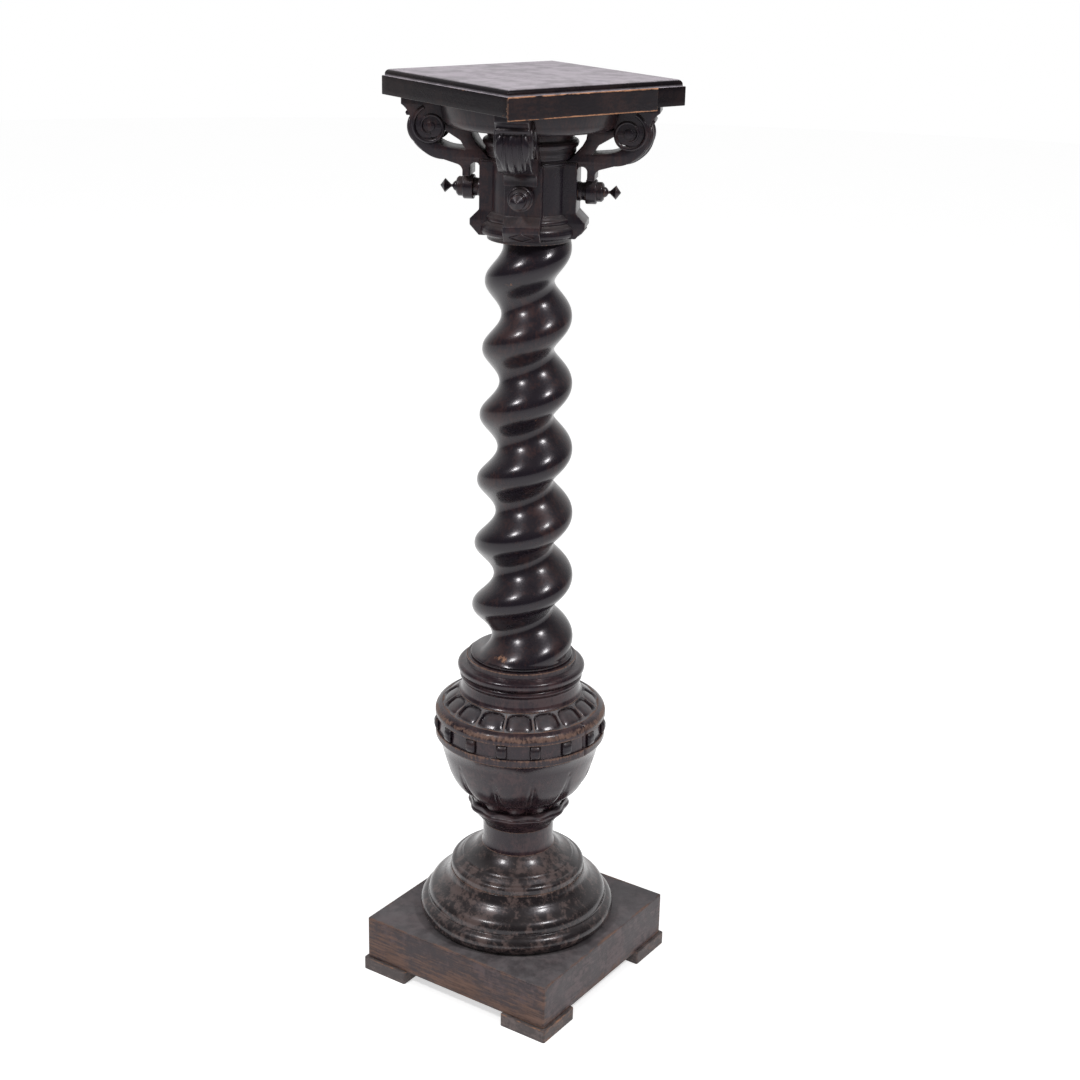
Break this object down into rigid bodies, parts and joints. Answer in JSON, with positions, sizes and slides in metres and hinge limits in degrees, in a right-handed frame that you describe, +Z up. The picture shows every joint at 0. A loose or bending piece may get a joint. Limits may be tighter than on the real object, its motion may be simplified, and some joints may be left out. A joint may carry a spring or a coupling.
{
  "type": "pedestal column stand",
  "caption": "Tall square-topped pedestal stand: barley-twist column with a capital of scroll brackets, turning in a carved urn on a round stepped base and a square plinth with pads.",
  "frame": {"origin": "centre of the footprint on the floor", "axes": "+Z up along the column; the plinth's sides lie along X and Y, and the board stands turned by 18.84 degrees clockwise seen from above"},
  "size_m": [0.3174, 0.3177, 1.168],
  "materials": {
    "dark_wood": "polished ebonised wood",
    "worn_wood": "ebonised wood, worn at the edges",
    "steel": "plain screws"
  },
  "bodies": {
    "base": {"foot_pad_1": "worn_wood", "foot_pad_2": "worn_wood", "foot_pad_3": "worn_wood", "foot_pad_4": "worn_wood", "pad_screws": "steel", "plinth": "worn_wood", "base_ring": "dark_wood", "base_tier": "dark_wood", "pedestal_stem": "dark_wood", "urn_bowl": "dark_wood", "urn_band": "dark_wood", "band_studs": "dark_wood", "urn_shoulder": "dark_wood", "urn_collar": "dark_wood"},
    "column": {"twist_column": "dark_wood", "capital_drum": "dark_wood", "capital_disc": "dark_wood", "pilaster_1": "dark_wood", "pilaster_2": "dark_wood", "pilaster_3": "dark_wood", "pilaster_4": "dark_wood", "bracket_1": "dark_wood", "bracket_2": "dark_wood", "bracket_3": "dark_wood", "bracket_4": "dark_wood", "spacer_1": "dark_wood", "spacer_2": "dark_wood", "spacer_3": "dark_wood", "spacer_4": "dark_wood", "boss_1": "dark_wood", "boss_2": "dark_wood", "boss_3": "dark_wood", "boss_4": "dark_wood", "finial_1": "dark_wood", "finial_2": "dark_wood", "finial_3": "dark_wood", "finial_4": "dark_wood", "top_board": "worn_wood", "edge_strip": "worn_wood", "top_screws": "steel"}
  },
  "joints": [
    {"name": "column_turn", "type": "hinge", "parent": "base", "child": "column", "pos_m": [0, 0, 0.447], "axis": [0, 0, 1], "continuous": true}
  ]
}
